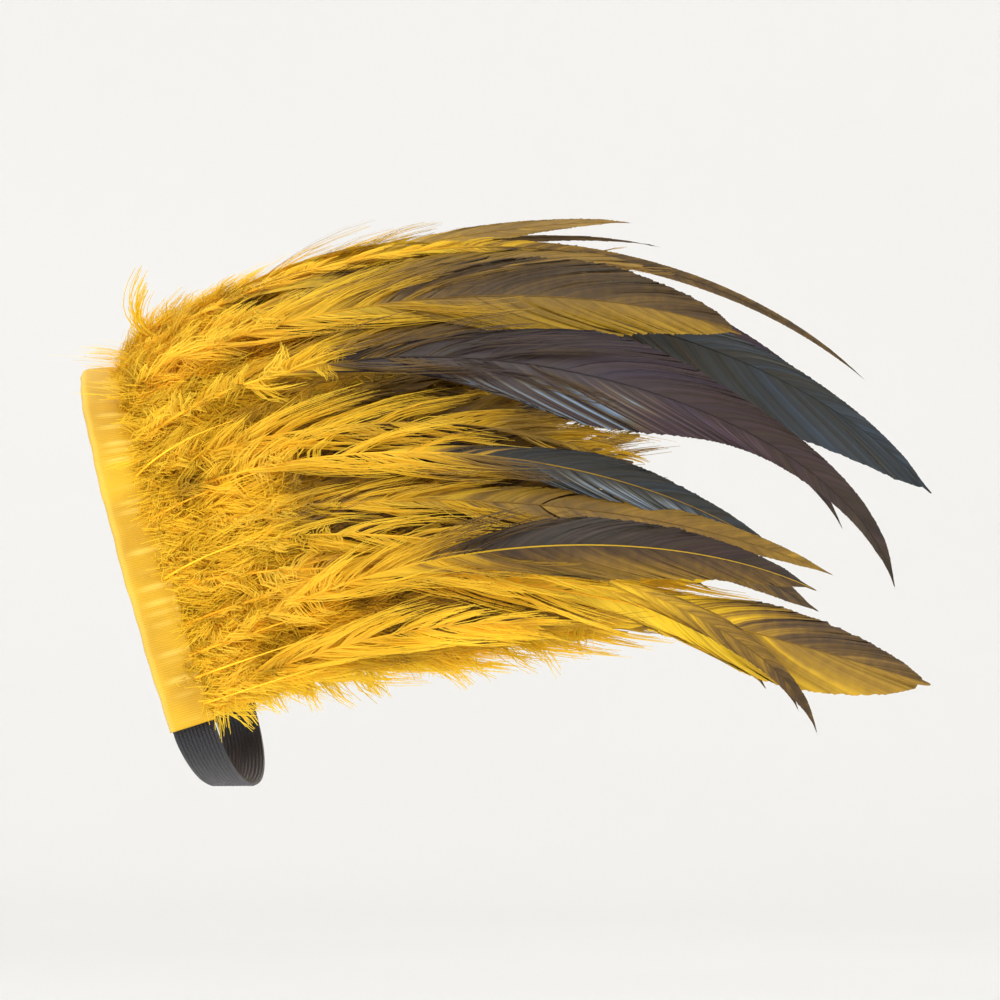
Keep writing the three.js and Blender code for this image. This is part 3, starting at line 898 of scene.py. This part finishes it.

# the long tail feathers, front end first, in mm and degrees: bow is how far one arches off its chord,
# hook how much more at its second bend and far that bend's place; dark says from where to where and how
# far it darkens, upper how much more its upper vane does, and tint its shine at the base, middle and tip;
# slim is taken off the two vanes over slimOver, looseTo is where loose barbs end, and hand is the vane
# that a painted glint is on: a painted highlight, bright streaks painted into the vane's colour
tailTable = [
    {"share": 0.03, "tip": (112, -86, -66), "bow": 10, "hook": 0.2, "width": 11, "lift": 8, "roll": 10,
     "dark": (0.8, 1.2, 0.3), "soft": 0.8, "vaneFrom": 0.75, "looseTo": 0.95},
    {"share": 0.08, "tip": (183, -94, -56), "bow": 30, "hook": 0, "width": 15, "lift": 9, "roll": 10,
     "dark": (0.34, 0.56, 0.76), "upper": 0.3, "tint": (0.5, 0.5, 0.6), "soft": 0.3, "slim": (0, -0.35),
     "slimOver": (0.3, 0.5), "shaftDark": 0.35},
    {"share": 0.11, "tip": (180, -74, -88), "bow": 34, "hook": 0.3, "far": 0.9, "width": 9, "lift": 7,
     "roll": 20, "dark": (0.5, 0.95, 0.66), "soft": 0.4, "vaneFrom": 0.55},
    {"share": 0.15, "tip": (215, -82, -81), "bow": 22, "hook": -0.5, "width": 19, "lift": 9, "roll": 10,
     "dark": (0.6, 0.86, 0.56), "upper": 0.3, "soft": 0.2, "vaneFrom": 0.42, "slim": (-0.6, -1.2),
     "slimOver": (0.64, 0.92)},
    {"share": 0.18, "tip": (184, -82, -94), "bow": 34, "hook": 0.3, "far": 0.92, "width": 10, "lift": 7,
     "roll": 20, "dark": (0.5, 0.95, 0.66), "soft": 0.4, "vaneFrom": 0.55},
    {"share": 0.21, "tip": (188, -88, -52), "bow": 18, "hook": 0.2, "width": 10, "lift": 9, "roll": 5,
     "dark": (0.22, 0.6, 0.52), "soft": 0.3},
    {"share": 0.25, "tip": (176, -82, -48), "bow": 25, "hook": 0.2, "width": 17, "lift": 10, "roll": 8,
     "dark": (0.4, 0.58, 0.95), "tint": (0.5, 0.3, 0.15), "soft": 0.2, "vaneFrom": 0.38, "slim": (0.3, 0.3),
     "shaftDark": 0.5, "glints": [{"hand": 1, "from": 0.56, "to": 0.9, "gain": 7, "tint": 0.1}]},
    {"share": 0.28, "tip": (136, -74, -24), "bow": 16, "hook": 0.2, "width": 15, "lift": 10, "roll": 0,
     "dark": (0.25, 0.7, 0.5), "soft": 0.8, "vaneFrom": 0.7, "looseTo": 0.95},
    {"share": 0.33, "tip": (206, -72, -56), "bow": 50, "hook": 0.1, "far": 0.93, "width": 26, "lift": 11,
     "roll": 25, "dark": (0.2, 0.36, 1), "tint": (0.5, 0.85, 0.5), "soft": 0.04, "vaneFrom": 0.2,
     "slim": (0.36, 0.6), "slimOver": (0.55, 0.8),
     "glints": [{"hand": 1, "from": 0.38, "to": 0.66, "gain": 5, "tint": 0},
                {"hand": 1, "from": 0.62, "to": 0.8, "gain": 1.2, "tint": 0.9}]},
    {"share": 0.4, "tip": (168, -52, 12), "bow": 18, "hook": 0.1, "width": 20, "lift": 13, "roll": 40,
     "dark": (0.24, 0.56, 0.54), "upper": 0.35, "soft": 0.35, "slim": (-0.3, -0.15), "slimOver": (0.3, 0.55)},
    {"share": 0.43, "tip": (221, -38, -31), "bow": 38, "hook": 0.2, "far": 0.78, "width": 20, "lift": 9,
     "roll": 25, "dark": (0.2, 0.42, 1), "tint": (0.6, 0.3, 0.1), "soft": 0.05, "slim": (0.1, -1.1),
     "slimOver": (0.64, 0.86)},
    {"share": 0.46, "tip": (205, -20, 0), "bow": 35, "hook": 0.2, "width": 4, "lift": 12, "roll": 60,
     "dark": (0.35, 0.62, 0.66), "tint": (0.5, 0.4, 0.4), "soft": 0.1},
    {"share": 0.48, "tip": (142, -14, 43), "bow": 9, "hook": 0, "width": 11, "lift": 14, "roll": 25,
     "dark": (0.3, 0.8, 0.5), "soft": 0.4},
    {"share": 0.52, "tip": (152, 8, 37), "bow": 14, "hook": 0, "width": 12, "lift": 13, "roll": 0,
     "dark": (0.3, 0.7, 0.68), "soft": 0.2},
    {"share": 0.56, "tip": (206, 24, -12), "bow": 34, "hook": 0.3, "width": 18, "lift": 10, "roll": -20,
     "dark": (0.2, 0.45, 1), "tint": (0.5, 0.7, 1), "soft": 0.1},
    {"share": 0.6, "tip": (172, 52, 8), "bow": 21, "hook": 0.1, "width": 17, "lift": 12, "roll": -30,
     "dark": (0.4, 0.9, 0.6), "upper": -0.25, "soft": 0.35},
    {"share": 0.65, "tip": (209, 62, -41), "bow": 42, "hook": 0.1, "far": 0.9, "width": 22, "lift": 9,
     "roll": -25, "dark": (0.14, 0.34, 1), "tint": (0.5, 0.85, 0.6), "soft": 0.05, "slim": (0.85, 0.4),
     "slimOver": (0.42, 0.78), "glints": [{"hand": -1, "from": 0.4, "to": 0.62, "gain": 3.5, "tint": 0}]},
    {"share": 0.71, "tip": (167, 84, -34), "bow": 22, "hook": 0.2, "width": 15, "lift": 10, "roll": 0,
     "dark": (0.4, 0.9, 0.6), "soft": 0.5, "slim": (0, 0.4)},
    {"share": 0.77, "tip": (205, 82, -64), "bow": 24, "hook": 0.1, "width": 17, "lift": 9, "roll": -8,
     "dark": (0.45, 0.95, 0.66), "tint": (0.5, 0.25, 0.1), "soft": 0.15},
    {"share": 0.83, "tip": (176, 94, -58), "bow": 20, "hook": 0.1, "width": 14, "lift": 9, "roll": -5,
     "dark": (0.45, 0.85, 0.66), "upper": -0.25, "soft": 0.35},
    {"share": 0.89, "tip": (190, 84, -86), "bow": 28, "hook": 0.3, "far": 0.9, "width": 14, "lift": 8,
     "roll": -15, "dark": (0.62, 0.95, 0.62), "upper": -0.25, "soft": 0.4},
    {"share": 0.96, "tip": (122, 86, -68), "bow": 10, "hook": 0.3, "width": 11, "lift": 8, "roll": -10,
     "dark": (0.7, 1.1, 0.45), "soft": 0.8, "vaneFrom": 0.75, "looseTo": 0.95},
]


def tailLine(feather):
    axes = tapeFrame(feather["share"])
    point, run, out, up = axes
    slot = slotPlace(axes)
    root = fringeTip(axes, feather["share"], feather["root"], feather["lift"] * mm, fringe["fan"])
    tip = np.array(feather["tip"]) * mm
    rise = unit(up + np.array([0, 0, 1.0])) * feather["bow"] * mm
    near = root + feather["near"]["along"] * (tip - root) + feather["near"]["rise"] * rise
    far = root + feather["far"] * (tip - root) + (1 + feather["hook"]) * rise
    lead = root - unit(near - root) * feather["lead"]
    spans = [(slot, slot + out * feather["slotRun"], lead, root), (root, near, far, tip)]
    line = shaftLine(spans, feather["stations"])
    turnShaft(line, up, math.radians(feather["roll"]))
    return line


def tailLook(feather, rng):
    start, end, most = feather["dark"]
    return {
        **feather,
        "width": feather["width"] * mm,
        "dark": {"from": start, "to": end, "most": most, "upper": feather["upper"],
                 "goldEdge": feather["goldEdge"], "base": feather["base"]},
        "tone": rng.uniform(*feather["toneVaries"]),
        "tint": lambda share: np.interp(share, feather["tintAt"], feather["tint"]),
    }


rng = np.random.default_rng(31)
for i, row in enumerate(tailTable, 1):
    feather = {**tail, **row}
    batch = newBatch()
    line = tailLine(feather)
    look = tailLook(feather, rng)
    addShaft(batch, line, look, feather["sides"])
    addVane(batch, line, look, rng)
    small = min(1, feather["width"] / feather["fullWidth"])
    addBarbs(batch, line, look, {**tailFluff, "long": tailFluff["long"] * small}, rng)
    looseShare = (feather["looseTo"] - tailSilk["from"]) / (tailSilk["to"] - tailSilk["from"])
    ownSilk = {"to": feather["looseTo"], "wisps": int(tailSilk["wisps"] * looseShare)}
    addBarbs(batch, line, look, {**tailSilk, **ownSilk, "long": tailSilk["long"] * small}, rng)
    piece = makePiece(f"tail_{i:02d}", batch, silkFeather)
    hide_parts(f"tail_feather_{i:02d}")
print("tail feathers made:", len(tailTable))


# bands start as a flat grid, which is laid along its path and given a wall
def newBand(name, along, across):
    bpy.ops.object.select_all(action="DESELECT")
    bpy.ops.mesh.primitive_grid_add(x_subdivisions=along, y_subdivisions=across, size=1)
    band = bpy.context.object
    band.name = name
    flat = np.empty(3 * len(band.data.vertices))
    band.data.vertices.foreach_get("co", flat)
    flat = flat.reshape(-1, 3)
    return band, np.clip(flat[:, 0] + 0.5, 0, 1), np.clip(flat[:, 1] + 0.5, 0, 1)


def layBand(band, places, layer, spots, thick, material):
    mesh = band.data
    corner = np.empty(len(mesh.loops), np.int32)
    mesh.loops.foreach_get("vertex_index", corner)
    mesh.uv_layers.new(name=layer).data.foreach_set("uv", spots[corner].ravel())
    mesh.vertices.foreach_set("co", places.ravel())
    mesh.update()
    wall = band.modifiers.new("wall", "SOLIDIFY")
    wall.thickness = thick
    wall.offset = 0
    bpy.ops.object.modifier_apply(modifier="wall")
    bpy.ops.object.mode_set(mode="EDIT")
    bpy.ops.mesh.select_all(action="SELECT")
    bpy.ops.mesh.normals_make_consistent(inside=False)
    bpy.ops.object.mode_set(mode="OBJECT")
    bpy.ops.object.shade_smooth()
    mesh.materials.append(material)
    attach(band, "root")


# the folded tape, pressed out in ridges by the quills inside it
ribbon = {
    "width": 13 * mm,
    "flat": 28 * mm,
    "wall": 0.9 * mm,
    "innerLeaf": 0.5 * mm,
    "outerLeaf": 3.1 * mm,
    "stations": 400,
    "acrossSteps": 24,
    "seed": 41,
    "quills": 52,
    "quillInset": 0.015,
    "quillStray": 0.006,
    "quillHigh": (0.15, 1.0),
    "quillMost": 1.3,
    "quillFrom": -5.5 * mm,
    "quillWide": 0.6 * mm,
    "ridge": 0.6 * mm,
    "outer": (0.5, 0.62),  # where the outer leaf starts, across the sheet
    "fold": (0.53, 0.035),  # the fold's place and width, across the sheet, where it is painted paler: wear and a painted highlight
    "hem": (0.029, 0.035),
    "hemLift": 0.7 * mm,
    "stitchAt": 3.6 * mm,
    "stitchWide": 0.5 * mm,
    "stitchDeep": 0.25 * mm,
    "stitchDark": (0.35, 0.7 * mm),
    "wobbles": [(0.12 * mm, 60, 0), (0.08 * mm, 171, 1)],  # of its edges: depth, turns and start
}
satin = {
    "cloth": [(0.3, (186, 139, 8)), (0.5, (203, 156, 12)), (0.72, (218, 174, 24))],
    "clothScale": 60,
    # the pale colour of the pressed-out ridges and the fold: partly wear, partly a painted highlight
    "worn": (246, 212, 96),
    "wornAt": 1.2,
    "wornMost": 0.75,
    "threads": 0.5,
    "stray": 0.6,
    "threadDark": 0.14,
    "bump": 0.35,
    "relief": 0.2 * mm,
    "rough": 0.5,
    "specular": 0.3,
    "sheen": 0.15,
    "sheenTint": (1.0, 0.78, 0.25, 1),
}


def satinMaterial():
    material, tree = newMaterial("yellow_satin")
    colour = ramp(tree, satin["cloth"], noise(tree, satin["clothScale"]))
    press = attribute(tree, "press").outputs["Fac"]  # how far a spot is pressed out by a quill or the fold
    # paler where pressed out: partly wear, partly a painted highlight on the ridges and the fold
    worn = addNode(tree, "MapRange", value=press, fromMax=satin["wornAt"], toMax=satin["wornMost"])
    colour = mixColour(tree, "MIX", worn.outputs[0], colour, (*linear(satin["worn"]), 1))
    wave, relief = threads(tree, "ribbon", satin)
    colour = mixColour(tree, "MULTIPLY", satin["threadDark"], colour, wave.outputs[0])
    skin = addNode(tree, "BsdfPrincipled", baseColor=colour, normal=relief, roughness=satin["rough"],
                   specularIorLevel=satin["specular"], sheenWeight=satin["sheen"],
                   sheenTint=satin["sheenTint"])
    coat(tree, skin)
    return material


def bell(x, middle, width):
    return np.exp(-(((x - middle) / width) ** 2))


def foldedPlace(across):
    # across runs from 0 at the inner leaf's open edge, round the fold, to 1 at the outer leaf's
    leaf = ribbon["width"] - ribbon["wall"]
    bend = (ribbon["outerLeaf"] - ribbon["innerLeaf"]) / 2
    straight = leaf - bend
    total = 2 * straight + math.pi * bend
    way = across * total
    edge = leaf / 2
    turn = np.clip((way - straight) / bend, 0, math.pi)
    flat = np.where(way < straight, edge - way, edge - (total - way))
    outwards = np.where((turn > 0) & (turn < math.pi), -edge + bend - bend * np.sin(turn), flat)
    return outwards, ribbon["innerLeaf"] + bend * (1 - np.cos(turn))


def makeTape():
    tape, share, across = newBand("satin_tape", ribbon["stations"], ribbon["acrossSteps"])
    point, run, out, up = tapeFrame(share)
    outwards, raised = foldedPlace(across)
    rng = np.random.default_rng(ribbon["seed"])
    inset = ribbon["quillInset"]
    count = ribbon["quills"]
    quills = np.linspace(inset, 1 - inset, count) + rng.normal(0, ribbon["quillStray"], count)
    high = rng.uniform(*ribbon["quillHigh"], count)
    ridges = (high * bell(share[:, None] * archLength, quills * archLength, ribbon["quillWide"])).sum(1)
    outer = ease(*ribbon["outer"], across)
    ridges = outer * np.clip(ridges, 0, ribbon["quillMost"]) * ease(ribbon["quillFrom"], 0, outwards)
    hemmed = 1 - ease(*ribbon["hem"], np.minimum(share, 1 - share))
    sewn = bell(outwards, ribbon["stitchAt"], ribbon["stitchWide"])
    raised = raised + ribbon["ridge"] * ridges + outer * ribbon["hemLift"] * hemmed
    raised = raised - outer * ribbon["stitchDeep"] * sewn
    for deep, turns, start in ribbon["wobbles"]:
        outwards = outwards + deep * np.sin(share * turns + start)
    much, wide = ribbon["stitchDark"]
    # how much paler a spot is painted, wear and painted highlight, on the ridges and the fold, less along the
    # stitch line
    pressed = ridges + bell(across, *ribbon["fold"]) - much * outer * bell(outwards, ribbon["stitchAt"], wide)
    layer = tape.data.attributes.new("press", "FLOAT", "POINT")
    layer.data.foreach_set("value", np.clip(pressed, 0, satin["wornAt"]).astype(np.float32))
    spots = np.stack([share * archLength / mm, across * ribbon["flat"] / mm], -1)
    places = point + out * outwards[:, None] + up * raised[:, None]
    layBand(tape, places, "ribbon", spots, ribbon["wall"], satinMaterial())
    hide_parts("header_tape")


makeTape()
print("tape folded")

# the elastic strap, from behind the tape's back end, round below, to behind its front end
elastic = {
    "width": 11 * mm,
    "thick": 1.2 * mm,
    "behind": 0.95 * mm,
    "drop": 17 * mm,
    "tab": 0.045,
    "tabSteps": 12,
    "steps": 90,
    "ribs": 11,
    "ribSteps": 4,
    "rib": 0.16 * mm,
    "dye": [(0.0, (12, 11, 14)), (0.6, (22, 20, 25)), (1.0, (44, 42, 50))],
    "threads": 0.55,
    "stray": 1.5,
    "bump": 0.5,
    "relief": 0.2 * mm,
    "rough": 0.6,
}


def elasticMaterial():
    material, tree = newMaterial("black_elastic")
    wave, relief = threads(tree, "band", elastic)
    colour = ramp(tree, elastic["dye"], wave.outputs[1])
    skin = addNode(tree, "BsdfPrincipled", baseColor=colour, normal=relief, roughness=elastic["rough"])
    coat(tree, skin)
    return material


def behindTape(share):
    point, run, out, up = tapeFrame(share)
    return point - up * elastic["behind"]


def strapPath():
    tab = elastic["tab"]
    end = behindTape(1.0)
    turn = np.linspace(0, math.pi, elastic["steps"])
    y = end[1] * np.cos(turn)
    z = end[2] - elastic["drop"] * np.sin(turn)
    under = np.stack([planeX(y, z), y, z], -1)
    backTab = behindTape(np.linspace(1 - tab, 1, elastic["tabSteps"])[:-1])
    frontTab = behindTape(np.linspace(0, tab, elastic["tabSteps"])[1:])
    return np.concatenate([backTab, under, frontTab])


def makeStrap():
    path = strapPath()
    gone = runAlong(path)
    out, up = bandAxes(unit(np.gradient(path, axis=0)))
    strap, share, across = newBand("ribbed_elastic", len(path) - 1, elastic["ribs"] * elastic["ribSteps"])
    station = np.round(share * (len(path) - 1)).astype(int)
    aside = (across - 0.5) * elastic["width"]
    rib = elastic["rib"] * np.cos(2 * math.pi * elastic["ribs"] * across)
    places = path[station] + out[station] * aside[:, None] - up[station] * rib[:, None]
    spots = np.stack([gone[station], aside], -1) / mm
    layBand(strap, places, "band", spots, elastic["thick"] - 2 * elastic["rib"], elasticMaterial())
    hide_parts("elastic_strap")


makeStrap()
print("strap made")

# the studio: a pale floor that sweeps up all round, four soft lights and a camera, in metres
studio = {
    "floor": -0.34,
    "flat": 4.2,
    "sweep": 1.1,
    "sweepSteps": 12,
    "corners": 128,
    "wall": 2.2,
    "pale": [(0.3, (241, 240, 238)), (0.7, (244, 243, 241))],
    "paleScale": 1.5,
    "rough": 0.9,
    "specular": 0.1,
    "eye": (-0.112, -2.5, -0.028),
    "aim": (0.107, 0.0, -0.032),
    "shown": 0.272,  # width of the view at the aim
    "air": 1.0,
    "lights": [  # name, place, size and watts
        ("key_softbox", (-0.7, -2.3, 0.9), 1.4, 38),
        ("fill_softbox", (1.8, -1.6, 0.5), 1.6, 16),
        ("top_softbox", (0.2, 0.3, 1.8), 1.4, 12),
        ("rim_softbox", (0.9, 1.7, 0.9), 1.2, 12),
    ],
}


def floorMaterial():
    material, tree = newMaterial("pale_floor")
    colour = ramp(tree, studio["pale"], noise(tree, studio["paleScale"]))
    skin = addNode(tree, "BsdfPrincipled", baseColor=colour, roughness=studio["rough"],
                   specularIorLevel=studio["specular"])
    coat(tree, skin)
    return material


def makeFloor():
    bpy.ops.object.select_all(action="DESELECT")
    bpy.ops.mesh.primitive_circle_add(vertices=studio["corners"], radius=studio["flat"], fill_type="NGON",
                                      location=(0, 0, studio["floor"]))
    floor = bpy.context.object
    floor.name = "studio_floor"
    bpy.ops.object.transform_apply(location=True)
    bpy.ops.object.mode_set(mode="EDIT")
    bpy.ops.mesh.select_all(action="SELECT")
    bpy.ops.mesh.region_to_loop()
    radius = studio["flat"]
    height = 0.0
    steps = studio["sweepSteps"]
    for step in range(1, steps + 2):  # the last step is the wall
        turn = math.pi / 2 * min(step, steps) / steps
        nextRadius = studio["flat"] + studio["sweep"] * math.sin(turn)
        nextHeight = studio["sweep"] * (1 - math.cos(turn)) + studio["wall"] * (step > steps)
        bpy.ops.mesh.extrude_edges_move(TRANSFORM_OT_translate={"value": (0, 0, nextHeight - height)})
        grow = nextRadius / radius
        bpy.ops.transform.resize(value=(grow, grow, 1), center_override=(0, 0, 0))
        radius = nextRadius
        height = nextHeight
    bpy.ops.object.mode_set(mode="OBJECT")
    bpy.ops.object.shade_smooth()
    floor.data.materials.append(floorMaterial())


def addAimed(name, data, place):
    thing = bpy.data.objects.new(name, data)
    thing.location = place
    thing.rotation_euler = (Vector(studio["aim"]) - Vector(place)).to_track_quat("-Z", "Y").to_euler()
    bpy.context.collection.objects.link(thing)
    return thing


def makeLight(name, place, size, power):
    data = bpy.data.lights.new(name, "AREA")
    data.size = size
    data.energy = power
    addAimed(name, data, place).visible_camera = False


def makeStudio():
    makeFloor()
    for light in studio["lights"]:
        makeLight(*light)
    scene = bpy.context.scene
    world = bpy.data.worlds.new("studio_air")
    world.use_nodes = True
    air = world.node_tree.nodes["Background"]
    air.inputs["Color"].default_value = (1, 1, 1, 1)
    air.inputs["Strength"].default_value = studio["air"]
    scene.world = world
    scene.view_settings.view_transform = "Standard"
    data = bpy.data.cameras.new("camera")
    away = (Vector(studio["aim"]) - Vector(studio["eye"])).length
    data.lens = data.sensor_width * away / studio["shown"]
    scene.camera = addAimed("camera", data, studio["eye"])


makeStudio()
print("studio ready")
meshes = [piece.data for piece in bpy.data.objects if piece.type == "MESH"]
triangles = sum(len(mesh.loops) - 2 * len(mesh.polygons) for mesh in meshes)
print("triangles with the frame's own and the floor's:", triangles)
